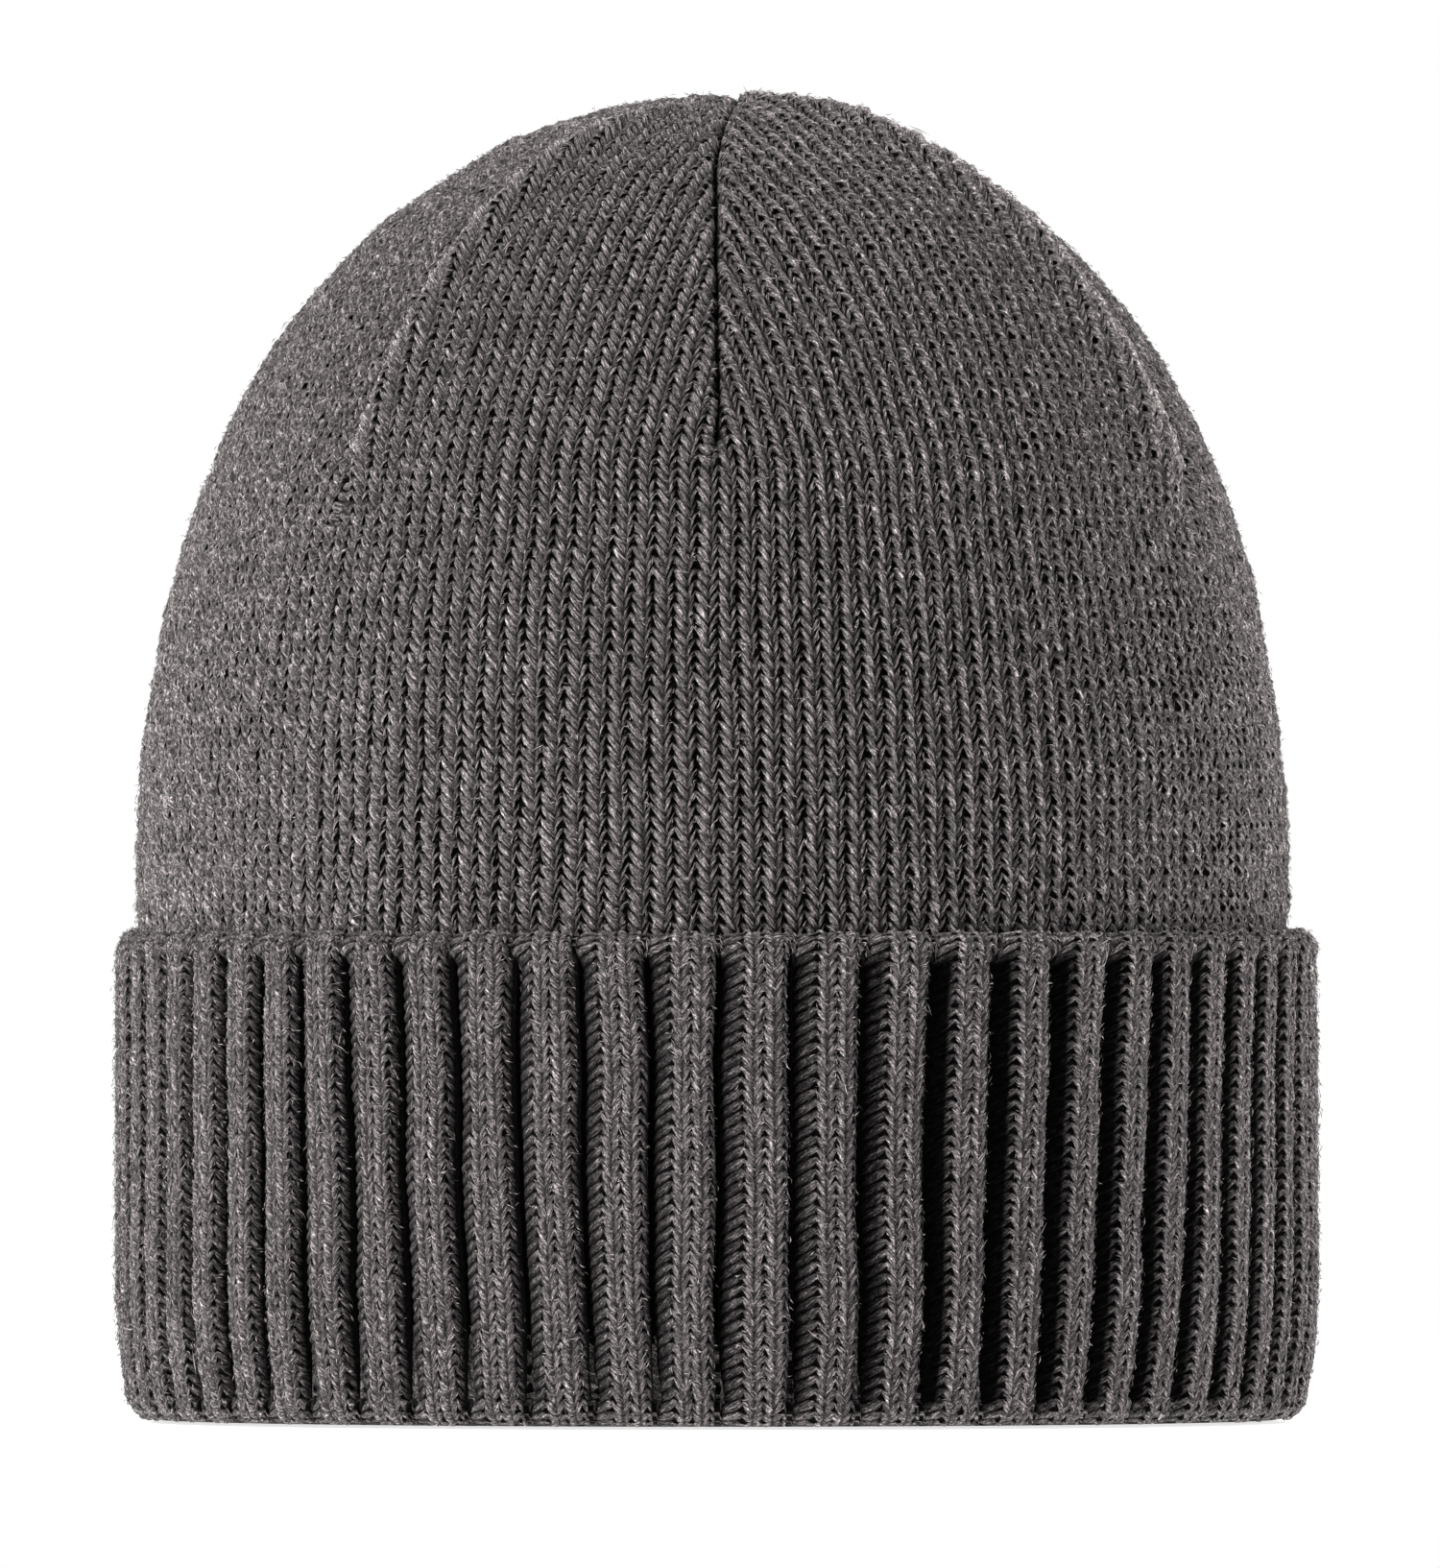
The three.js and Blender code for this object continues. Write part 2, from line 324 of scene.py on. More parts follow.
def crease_depth(arc, v):
    """How deep the creases are on the inside, 0 to 1, close to each dart."""
    total = np.zeros(np.broadcast(arc, v).shape)
    for dart, offset in enumerate(dart_offsets(arc, v)):
        start = smooth(DART_STARTS[dart], DART_STARTS[dart] + DART_RAMP, v)
        total = total + np.exp(-((offset / 2.2) ** 2)) * start
    return np.clip(total, 0, 1)


def make_crown():
    """The crown's outer face, gore by gore: vertex numbers, points, relief, knit uv and bake uv."""
    gaps = np.diff(DART_ARCS + [DART_ARCS[0] + 1])
    counts = np.round(gaps * WALES).astype(int)
    counts[-1] += WALES - counts.sum()
    offsets = np.concatenate([[0], np.cumsum(counts)])

    y = (np.arange(CROWN_COURSES)[:, None] + np.array(ROWS)[None, :]).ravel()
    row_v = y * COURSE
    bases = [start - DART_LEAD for start in DART_STARTS]
    base_r = np.interp(bases, SECTION_V, SECTION_R)

    def fullness(dart, v):
        """The share of its wales that a gore still has beside a dart."""
        return np.where(v > bases[dart], np.interp(v, SECTION_V, SECTION_R) / base_r[dart], 1.0)

    def tip(dart):
        """Where up a leg the seam cuts it, row by row."""
        return 1 - 0.5 * smooth(bases[dart], bases[dart] + DART_SETTLE, row_v)

    seam_rows = [(y + LEG_SLOPE * (tip(k) - 1)) * COURSE for k in range(len(DARTS))]
    row_count = len(y)

    ids_blocks, points, reliefs, knit_blocks, flat_blocks = [], [], [], [], []
    # Seam vertices come first: one column per dart, then the apex.
    for k, arc in enumerate(DART_ARCS):
        seam_v = seam_rows[k]
        depth = crease_start(k, seam_v)
        wander = soft_noise(seam_v / 3.1 + 40 * k, seam_v * 0, 97, 60 + k)
        open_share = 0.3 + 0.7 * off_the_top(seam_v)
        out = 0.35 + DARTS[k][2] * 0.6 * depth - depth * (2.3 + 0.6 * wander) * open_share
        drift = 0.0009 * soft_noise(seam_v / 9 + 13 * k, seam_v * 0, 97, 80 + k) * depth
        points.append(dome_point(arc + drift, seam_v, out + body_wave(arc, seam_v)))
        # Painted shade: the seam's relief falls towards 0 where the crease is deep, so its colour darkens
        # there.
        reliefs.append(0.45 - 0.45 * depth)
    apex_id = row_count * len(DARTS)
    apex = dome_point(np.zeros(1), np.full(1, CROWN_LENGTH), np.full(1, -APEX_SINK))
    next_id = apex_id + 1
    point_list = [np.concatenate(points), apex]
    relief_list = [np.concatenate(reliefs), np.zeros(1)]

    for k, count in enumerate(counts):
        columns = zip(wale_steps([LEG_SPLIT] * count), (count, 1.0, count - 1, LEG_SPLIT))
        run, inside, wale, split = [np.append(column, last) for column, last in columns]
        half = count / 2
        d = (run - half)[None, :]
        after = (k + 1) % len(DARTS)
        left_full, right_full = fullness(k, seam_rows[k]), fullness(after, seam_rows[after])
        left_edge, right_edge = half * left_full[:, None], half * right_full[:, None]
        snap = 0.12  # columns this close to a seam, in wales, are moved onto it
        left = d <= -left_edge + snap
        right = d >= right_edge - snap
        left[:, 0] = True
        right[:, -1] = True

        def sewn(at_left, at_right, between):
            return np.where(left, at_left, np.where(right, at_right, between))

        clamped = sewn(-left_edge, right_edge, d)
        climb = leg_climb(inside, split)[None, :]
        tips = np.where(d < 0, tip(k)[:, None], tip(after)[:, None])
        to_edge = np.where(d < 0, clamped + left_edge, right_edge - clamped)
        seamed = np.where(d < 0, (row_v > bases[k])[:, None], (row_v > bases[after])[:, None])
        near = sewn(0.0, 0.0, np.where(seamed, smooth(0.0, 0.9, to_edge), 1.0))
        level = y[:, None] + LEG_SLOPE * (climb * near + tips * (1 - near) - 1)
        v = sewn(seam_rows[k][:, None], seam_rows[after][:, None], level * COURSE)
        sides = half * (fullness(k, v) + fullness(after, v))
        arc = DART_ARCS[k] + gaps[k] * (clamped + half * fullness(k, v)) / sides
        arc = sewn(DART_ARCS[k], DART_ARCS[k] + gaps[k], arc)
        x_all = offsets[k] + half + clamped
        yy = np.broadcast_to(y[:, None], x_all.shape)
        relief = knit_relief(inside, yy, wale + offsets[k], split, CROWN_PLUMP, CROWN_GAP)
        ragged = 0.42 + 0.22 * soft_noise(x_all * 0, yy / 1.3 + 19 * k, 61, 25)
        to_left = (clamped + left_edge) * WALE_WIDTH
        to_right = (right_edge - clamped) * WALE_WIDTH
        out = YARN_HEIGHT * relief - 0.2 + body_wave(arc, v) + fold_out(arc, v)
        out = out + 0.22 * soft_noise(x_all / 1.7, yy / 2.3, 109, 21)
        fold_highlight = np.zeros_like(out)
        for distance, seam in ((to_left, k), (to_right, after)):
            creased = crease_start(seam, v)
            crease = np.exp(-((distance / CREASE_HALF) ** 2)) * (0.25 + 0.75 * off_the_top(v))
            out = out - creased * CREASE_SINK * crease
            # Painted highlight along a high fold, painted shade in a deep valley and in a thin line along
            # the crease.
            height, middle, reach = dart_side(seam, k)
            spread = fold_start(seam, v) * np.exp(-(((distance - middle) / (0.55 * reach)) ** 2))
            fold_highlight = np.maximum(fold_highlight, np.clip(height - 1.5, 0, 1) * spread)
            relief = relief * (1 - 0.6 * np.clip(-height - 1.5, 0, 1) * spread)
            relief = relief * (1 - CREASE_SHADE[seam] * np.exp(-((distance / ragged) ** 4)) * creased)
        sway = 0.09 * soft_noise(x_all / 3.0, yy / 7.0, 62, 31)
        sway = sway + 0.05 * per_stitch(np.floor(x_all), np.floor(yy), 9)
        arc = arc + sway / WALES * near
        block = dome_point(arc, v, out).reshape(-1, 3)
        ids = next_id + np.arange(block.shape[0]).reshape(v.shape)
        next_id += block.shape[0]
        rows = np.arange(row_count)[:, None]
        ids = sewn(k * row_count + rows, after * row_count + rows, ids)
        closed = (left_edge + right_edge < 2.0)[:, 0]
        ids[closed] = apex_id
        point_list.append(block)
        relief_list.append((relief + fold_highlight * (FOLD_HIGHLIGHT_RELIEF - relief)).ravel())
        ids_blocks.append(ids)
        knit_blocks.append(np.stack([x_all, yy], -1))
        flat_blocks.append(np.stack([x_all / WALES * 0.98 + 0.01, v / CROWN_LENGTH * 0.7 + 0.01], -1))

    return ids_blocks, np.concatenate(point_list), np.concatenate(relief_list), knit_blocks, flat_blocks


def crown_lining(first_id):
    """The crown's inner face: (vertex numbers, points, relief, knit uv, bake uv)."""
    columns = WALES * LINING_PER_WALE
    v = np.concatenate([np.arange(2 * CROWN_COURSES) * COURSE / 2, [CROWN_LENGTH]])[:, None]
    arc = np.arange(columns + 1)[None, :] / columns
    v, arc = v + 0 * arc, arc + 0 * v
    x, y = arc * WALES, v / COURSE
    bead = np.cos(2 * math.pi * y) * (0.6 + 0.4 * np.cos(2 * math.pi * x * 2))
    fade = smooth(CROWN_LENGTH - 2, CROWN_LENGTH - 14, v)
    out = -WALL - 0.28 * bead * fade - 0.25 * soft_noise(arc * 31, y / 3, 31, 77)
    out = out + fold_out(arc, v) - 1.1 * crease_depth(arc, v) * fade + np.minimum(body_wave(arc, v), 0)
    points = dome_point(arc, v, out)
    ids = first_id + np.arange(v.size).reshape(v.shape)
    ids[:, -1] = ids[:, 0]
    ids[-1] = ids[-1, 0]
    relief = 0.62 + 0.3 * bead
    flat = np.stack([arc * 0.98 + 0.01, v / CROWN_LENGTH * 0.24 + 0.74], -1)
    return ids, points, relief, np.stack([x, y], -1), flat


class Faces:
    """Faces gathered grid by grid, with their uv corners."""

    def __init__(self):
        self.quads, self.tris = [], []
        self.uv = {"OFBake": ([], []), "knit": ([], [])}

    def grid(self, ids, knit, flat, inward=False):
        def corners(values):
            found = [values[:-1, :-1], values[:-1, 1:], values[1:, 1:], values[1:, :-1]]
            return found[::-1] if inward else found

        a, b, c, d = [g.ravel() for g in corners(ids)]
        if inward:
            low, high = c == d, a == b
        else:
            low, high = a == b, c == d
        quad, low_tri, high_tri = ~low & ~high, low & ~high, high & ~low
        pick = {True: ((0, 1, 2), (0, 2, 3)), False: ((0, 2, 3), (0, 1, 2))}[inward]
        all_ids = np.stack([a, b, c, d], 1)
        self.quads.append(all_ids[quad])
        self.tris.append(all_ids[low_tri][:, pick[0]])
        self.tris.append(all_ids[high_tri][:, pick[1]])
        for layer, values in (("OFBake", flat), ("knit", knit)):
            uv = np.stack([g.reshape(-1, 2) for g in corners(values)], 1)
            self.uv[layer][0].append(uv[quad])
            self.uv[layer][1].append(uv[low_tri][:, pick[0]])
            self.uv[layer][1].append(uv[high_tri][:, pick[1]])

    def loose(self, quads, tris, bake_spot):
        """Faces with one place in each uv map, for a narrow edge. In the knit it is mid-stitch."""
        self.quads.append(quads)
        self.tris.append(tris)
        for layer, spot in (("OFBake", bake_spot), ("knit", 0.5)):
            self.uv[layer][0].append(np.full((len(quads), 4, 2), spot))
            self.uv[layer][1].append(np.full((len(tris), 3, 2), spot))

    def mesh(self, name, points, relief):
        quads, tris = np.concatenate(self.quads), np.concatenate(self.tris)
        used, index = np.unique(np.concatenate([quads.ravel(), tris.ravel()]), return_inverse=True)
        uv = {k: (np.concatenate(q), np.concatenate(t)) for k, (q, t) in self.uv.items()}
        new_quads = index[: quads.size].reshape(-1, 4)
        new_tris = index[quads.size :].reshape(-1, 3)
        return make_mesh(name, points[used], new_quads, new_tris, uv, relief[used])


def crown_object():
    id_blocks, points, relief, knits, flats = make_crown()
    faces = Faces()
    for ids, knit, flat in zip(id_blocks, knits, flats):
        faces.grid(ids, knit, flat)
    ids, inner, inner_relief, knit, flat = crown_lining(len(points))
    faces.grid(ids, knit, flat, inward=True)
    outer_rim = np.concatenate([block[0, :-1] for block in id_blocks])
    outer_rim = np.append(outer_rim, outer_rim[0])
    step = (len(outer_rim) - 1) // (ids.shape[1] - 1)
    starts = outer_rim[:-1].reshape(-1, step)
    last = outer_rim[step::step]
    near, far = ids[0, :-1], ids[0, 1:]
    tris = [np.stack([starts[:, i + 1], starts[:, i], near], 1) for i in range(step - 1)]
    quads = np.stack([last, starts[:, -1], near, far], 1)
    faces.loose(quads, np.concatenate(tris), 0.005)
    all_points = np.concatenate([points, inner.reshape(-1, 3)])
    return faces.mesh("crown_knit", all_points, np.concatenate([relief, inner_relief.ravel()]))


# ------------------------------ cuff

def rib_section(steps=LEG_STEPS):
    """Columns over one rib: (share across the pitch, height 0..1, x in wales, inside, wale, split)."""
    fine = np.linspace(0, len(RIB_SPLITS), 401)
    soften = np.hanning(61) / np.hanning(61).sum()
    across = np.interp(fine, RIB_WALES, RIB_ACROSS)
    up = np.interp(fine, RIB_WALES, RIB_UP)
    inner = slice(30, -30)
    across[inner] = np.convolve(across, soften, "valid")
    up[inner] = np.convolve(up, soften, "valid")
    run, inside, wale, split = wale_steps(RIB_SPLITS, steps)
    run, inside = np.append(run, len(RIB_SPLITS)), np.append(inside, 1.0)
    wale, split = np.append(wale, len(RIB_SPLITS) - 1), np.append(split, RIB_SPLITS[-1])
    return np.interp(run, fine, across), np.interp(run, fine, up), run, inside, wale, split


def cuff_section():
    """The crests' section (radius, z), from the top edge down the outside to the fold."""
    quarter = np.linspace(0, math.pi / 2, 9)
    top_r, top_z = 3.1, 3.4  # how far the top edge rounds over
    fold_r, fold_z = 3.2, 4.4  # and the fold under the cuff
    top = [CUFF_R - top_r * (1 - np.sin(quarter)), CUFF_TOP - top_z * (1 - np.cos(quarter))]
    fold = [CUFF_R - 1.4 - fold_r * (1 - np.cos(quarter)), fold_z * (1 - np.sin(quarter))]
    middle = [(CUFF_R, 20), (CUFF_R - 0.3, 13), (CUFF_R - 0.8, 8)]
    return np.concatenate([np.stack(top, 1), middle, np.stack(fold, 1)])


def rib_shift(rib, share, z):
    """How far the ribs of the cuff stand sideways of an even spacing, in millimetres: (drift, sway)."""
    turned = (rib + share) / RIBS
    right = np.where(turned < 0.5, turned, 0)
    left = np.where(turned < 0.5, 0, 1 - turned)
    # The ribs crowd a little towards the front, more on the left, and lean towards it at the bottom.
    crowd = 7.5 * np.sin(2 * math.pi * left) - 6.5 * np.sin(2 * math.pi * right) ** 2
    lean = 2.3 * smooth(0, 0.03, left) * smooth(0.17, 0.09, left)
    lean = lean - 3.8 * smooth(0.01, 0.12, right) * smooth(0.4, 0.2, right)
    drift = crowd + lean * (0.5 - z / CUFF_TOP)
    here = soft_noise(rib, z / 17, RIBS, 52)
    after = soft_noise(rib + 1, z / 17, RIBS, 52)
    sway = 0.42 * (here * (1 - share) + after * share)
    return drift, sway + 0.12 * soft_noise(rib + share, z / 4, RIBS, 53)


def oval_out(arc, r, z, out, up=0.0):
    """Points on an upright oval wall of half width r, moved out along its normal."""
    turn = oval_turn(arc)
    sin, cos = np.sin(turn), np.cos(turn)
    normal = unit(np.stack([DEPTH * sin, -cos], -1))
    return np.stack([r * sin + out * normal[..., 0], -DEPTH * r * cos + out * normal[..., 1], z + up], -1)


def round_the_ribs(section):
    """rib_section's columns repeated over all the ribs, after the number of the rib."""
    rib = np.repeat(np.arange(RIBS), len(section[0]))
    return [rib] + [np.tile(column, RIBS) for column in section]


def make_cuff():
    """The turned-up ply: its rows run down the outside, under the fold and up the inner face."""
    outer = cuff_section()
    length = running_length(outer)
    end = length[-1]
    courses = int(round(end / CUFF_COURSE))
    y = np.append((np.arange(courses)[:, None] + np.array(ROWS)[None, :]).ravel(), courses)
    rib, lateral, height, run, inside, wale, split = round_the_ribs(rib_section())
    row_at = (y / courses * end)[:, None]
    slope = CUFF_SLOPE * smooth(0, 5, row_at) * smooth(end, end - 5, row_at)
    # y counts upwards in the knit's own direction, and the rows here run downwards.
    s = np.clip(row_at - slope * (leg_climb(inside, split) - 0.5) * CUFF_COURSE, 0, end)
    crest_r = np.interp(s, length, outer[:, 0])
    z = np.interp(s, length, outer[:, 1])
    dr, dz = rise(s, 0.3, length, outer[:, 0]), rise(s, 0.3, length, outer[:, 1])
    size = np.hypot(dr, dz)
    n_r, n_z = -dz / size, dr / size
    # The grooves run out before the top edge and the fold.
    groove = smooth(3.6, 6.4, row_at) * smooth(end - 3.0, end - 5.2, row_at)
    yy = np.broadcast_to(y[:, None], s.shape)
    in_groove = 1 - height
    on_flank = smooth(0.06, 0.25, in_groove)
    plump = CUFF_PLUMP + (FLANK_PLUMP - CUFF_PLUMP) * on_flank
    relief = knit_relief(inside, yy, rib * len(RIB_SPLITS) + wale, split, plump, CUFF_GAP)
    relief = relief * (1 - 0.6 * on_flank * (1 - np.sin(math.pi * np.mod(yy, 1))))
    swell = soft_noise(rib + 0.5, z / 24, RIBS, 51)
    out = -groove * RIB_HEIGHT * in_groove * (1 + 0.06 * swell)
    out = out + 0.35 * swell * (1 - in_groove) * groove
    out = out + 0.8 * relief * (0.35 + 0.65 * np.sqrt(np.clip(1 - in_groove, 0, 1))) - 0.75
    arc0 = (rib + lateral) / RIBS
    drift, sway = rib_shift(rib, lateral, z)
    arc = arc0 + (drift + sway * groove) / CUFF_GIRTH
    outside = oval_out(arc, crest_r, z, out * n_r, out * n_z)
    outside[..., 2] = np.maximum(outside[..., 2], 0.0)
    # Painted shade: how far the grooves are darkened. It covers more of the flank away from the front,
    # where the grooves are narrower than the light reaches.
    flank = 0.45 * smooth(0.02, 0.28, in_groove) + 0.55 * smooth(0.34, 0.6, in_groove)
    shaded_side = smooth(0.01, 0.065, arc0) * smooth(0.8, 0.6, arc0)
    flank = flank + shaded_side * (smooth(0.05, 0.26, in_groove) - flank)

    # The return: under the fold, over the lip beneath the band, and up the inner face.
    inset = [(5.6, 0.05), (6.6, 0.35), (7.05, 1.1), (6.6, 1.8), (5.0, 2.1), (3.78, 2.6), (CUFF_INNER, 5)]
    inset += [(CUFF_INNER, CUFF_TOP * k / 6) for k in range(1, 6)]
    inset += [(CUFF_INNER, CUFF_TOP - 2.0), (3.5, CUFF_TOP - 0.8)]
    inner = np.array([(CUFF_R - back, z_in) for back, z_in in inset])
    ring_arc = arc0 * np.ones((len(inner), 1))
    ring = oval_out(ring_arc, inner[:, :1], inner[:, 1:] + 0 * ring_arc, 0 * ring_arc)
    points = np.concatenate([outside, ring])
    reliefs = np.concatenate([relief * (1 - groove * flank), np.full(ring.shape[:2], 0.5)])
    knit_y = np.concatenate([y, courses + 1 + np.arange(len(inner)) * 2.0])
    return ring_mesh("cuff_knit", points, reliefs, rib * len(RIB_SPLITS) + run, knit_y, arc0)


def ring_mesh(name, points, relief, knit_x, knit_y, bake_x):
    """A closed ring from its section rows, which run down the outside and up the inside."""
    rows, cols = points.shape[:2]
    ids = np.arange(rows * cols).reshape(rows, cols)
    ids = np.concatenate([ids, ids[:1]])
    ids = np.concatenate([ids, ids[:, :1]], 1)[::-1]
    knit_y = np.append(knit_y, knit_y[-1] + 1)
    knit_x = np.append(knit_x, np.ceil(knit_x[-1]))
    middle = points[:, 0]
    length = running_length(np.concatenate([middle, middle[:1]]))
    knit = np.stack(np.meshgrid(knit_x, knit_y[::-1]), -1)
    flat_y = (length / length[-1])[::-1] * 0.98 + 0.01
    flat = np.stack(np.meshgrid(np.append(bake_x, bake_x[0] + 1) * 0.94 + 0.01, flat_y), -1)
    faces = Faces()
    faces.grid(ids, knit, flat)
    return faces.mesh(name, points.reshape(-1, 3), relief.ravel())


# ------------------------------ rib band, inside the cuff

def make_band():
    """The inner ply. Its rows run down the outside and up the inside."""
    low, high = box_mm("rib_band")
    rib, lateral, height, run, inside, wale, split = round_the_ribs(rib_section((0.0, 0.5)))
    courses = int((high[2] - low[2]) / CUFF_COURSE)
    y = np.arange(0, courses, 0.5)
    yy = np.broadcast_to(y[:, None], (len(y), len(rib)))
    relief = knit_relief(inside, yy, rib * len(RIB_SPLITS) + wale, split, CUFF_PLUMP, 0.7)
    climb = CUFF_SLOPE * (leg_climb(inside, split) - 0.5) * smooth(0, 3, y)[:, None]
    climb = climb * smooth(courses - 0.5, courses - 3.5, y)[:, None]
    arc = np.broadcast_to((rib + lateral) / RIBS, yy.shape)
    top = CROWN_BOTTOM - 0.05  # just clear of the crown
    z = np.clip(top - (y[:, None] - climb) * (top - low[2]) / (courses - 0.5), low[2], top)
    depth = BAND_RIB * smooth(low[2] + 1, low[2] + 8, z)  # the ribs run out towards the lower edge
    outer = oval_out(arc, high[0] - 0.55, z, 0.5 * relief - depth * (1 - height))
    inner = oval_out(arc, high[0] - 2.9, z, depth * height - 0.45 * relief)[::-1]
    points = np.concatenate([outer, inner])
    knit_y = np.concatenate([y, courses + y])
    both = np.concatenate([relief, relief[::-1]])
    return ring_mesh("rib_band_knit", points, both, rib * len(RIB_SPLITS) + run, knit_y, arc[0])


# ------------------------------ sewn edges, label and seam

def tube(name, centre, side, up, half_side, half_up, spin=12):
    """A closed rounded bar along centre, with its own half thicknesses at each step."""
    turn = np.linspace(0, 2 * math.pi, spin, endpoint=False)
    ring = centre[:, None] + side[:, None] * (np.cos(turn)[None, :] * half_side[:, None])[..., None]
    ring = ring + up[:, None] * (np.sin(turn)[None, :] * half_up[:, None])[..., None]
    steps = len(centre)
    points = np.concatenate([ring.reshape(-1, 3), centre[:1], centre[-1:]])
    ids = np.arange(steps * spin).reshape(steps, spin)
    ids = np.concatenate([np.full((1, spin), steps * spin), ids, np.full((1, spin), steps * spin + 1)])
    ids = np.concatenate([ids, ids[:, :1]], 1)
    along = running_length(centre)
    along = np.concatenate([[along[0] - 0.5], along, [along[-1] + 0.5]])
    knit = np.stack(np.meshgrid(np.arange(spin + 1) / spin, along), -1)
    span = along[-1] - along[0]
    flat = knit * np.array([0.9, 0.96 / span]) + np.array([0.03, 0.02 - along[0] * 0.96 / span])
    faces = Faces()
    faces.grid(ids, knit, flat)
    return faces.mesh(name, points, np.ones(len(points)))


def dart_edge(name, azimuth, start_z):
    """The overlocked edge that stands inside a dart, from just above its foot to near the top."""
    end_v = float(np.interp(-7.5, -SECTION_R, SECTION_V))
    start_v = float(np.interp(start_z + 1.5, SECTION_Z, SECTION_V))
    v = np.linspace(start_v, end_v, 150)
    here = np.full(v.shape, oval_arc(azimuth))
    # It hangs under the cloth, and lower where the cloth beside the dart sinks.
    beside = np.minimum(fold_out(here - 0.003, v), fold_out(here + 0.003, v))
    drop = -6.3 + body_wave(here, v) + np.minimum(beside, 0)
    centre = dome_point(here, v, drop)
    up = unit(centre - dome_point(here, v, drop - 1))
    side = unit(np.cross(np.gradient(centre, axis=0), up))
    ends = smooth(0, 5, v - v[0]) * smooth(0, 5, v[-1] - v)
    stitch = np.abs(np.sin(v * math.pi / 2.4))
    half_side = (0.55 + 0.6 * stitch) * (0.35 + 0.65 * ends)
    half_up = (1.8 + 0.35 * stitch) * (0.3 + 0.7 * ends)
    return tube(name.replace("dart_seam", "dart_edge"), centre, side, up, half_side, half_up)


def make_label():
    """A blank woven label that hangs from its sewn upper edge, bowed a little like cut tape."""
    low, high = box_mm("care_label")
    width, top, bottom = high[0] - low[0], high[2], low[2]
    y0 = (low[1] + high[1]) / 2
    half_thick = 0.26
    u, w = np.meshgrid(np.linspace(-0.5, 0.5, 29), np.linspace(0, 1, 43))
    corner = np.clip((w - 0.955) / 0.045, 0, 1)  # the rounded corners of the loose end
    x = u * (width - 3.0 * (1 - np.sqrt(1 - corner**2)))
    z = top - w * (top - bottom)
    bow = -1.3 * np.sin(w * math.pi * 0.62) ** 2 - 0.9 * w**2 * (2 * u) ** 2
    weave = 0.03 * np.cos(w * math.pi * 42)
    sheets = [np.stack([x, y0 + bow + face * (half_thick + weave), z], -1) for face in (-1, 1)]
    rows, cols = u.shape
    front = np.arange(rows * cols).reshape(rows, cols)
    back = front + rows * cols
    points = np.concatenate([sheet.reshape(-1, 3) for sheet in sheets])
    faces = Faces()
    uv = np.stack([u + 0.5, 1 - w], -1)
    faces.grid(front[::-1], uv[::-1] * 30, uv[::-1] * [0.45, 0.9] + 0.02)
    faces.grid(back[::-1], uv[::-1] * 30, uv[::-1] * [0.45, 0.9] + [0.5, 0.02], inward=True)
    loop = np.concatenate([front[0, :-1], front[:-1, -1], front[-1, :0:-1], front[:0:-1, 0]])
    after = np.roll(loop, -1)
    rim = np.stack([loop, after, after + rows * cols, loop + rows * cols], 1)
    faces.loose(rim, np.zeros((0, 3), int), 0.97)
    return faces.mesh("label_tape", points, np.ones(len(points)))


def make_cuff_seam():
    """The thread chain that closes the cuff, down the groove at the back."""
    z = np.linspace(5.0, CUFF_TOP - 4.5, 240)
    rib = np.full(z.shape, RIBS // 2)
    drift, sway = rib_shift(rib, 0 * z, z)
    arc = 0.5 + (drift + sway) / CUFF_GIRTH
    chain = z * 2 * math.pi / 2.2  # one loop of the chain every 2.2 mm
    loops = 0.28 * np.sin(chain)
    centre = oval_out(arc, CUFF_R, z, -RIB_HEIGHT + 1.25 + 0 * z)
    centre[:, 0] += loops
    up = unit(oval_out(arc, CUFF_R, z, 1 + 0 * z) - oval_out(arc, CUFF_R, z, 0 * z))
    side = unit(np.cross(np.gradient(centre, axis=0), up))
    thick = 0.36 + 0.1 * np.abs(np.sin(chain))
    return tube("cuff_seam_chain", centre, side, up, thick, thick, 8)


# ------------------------------ loose fibres

def fetch(items, what, width, kind=float):
    values = np.zeros(len(items) * width, kind)
    items.foreach_get(what, values)
    return values.reshape(-1, width)


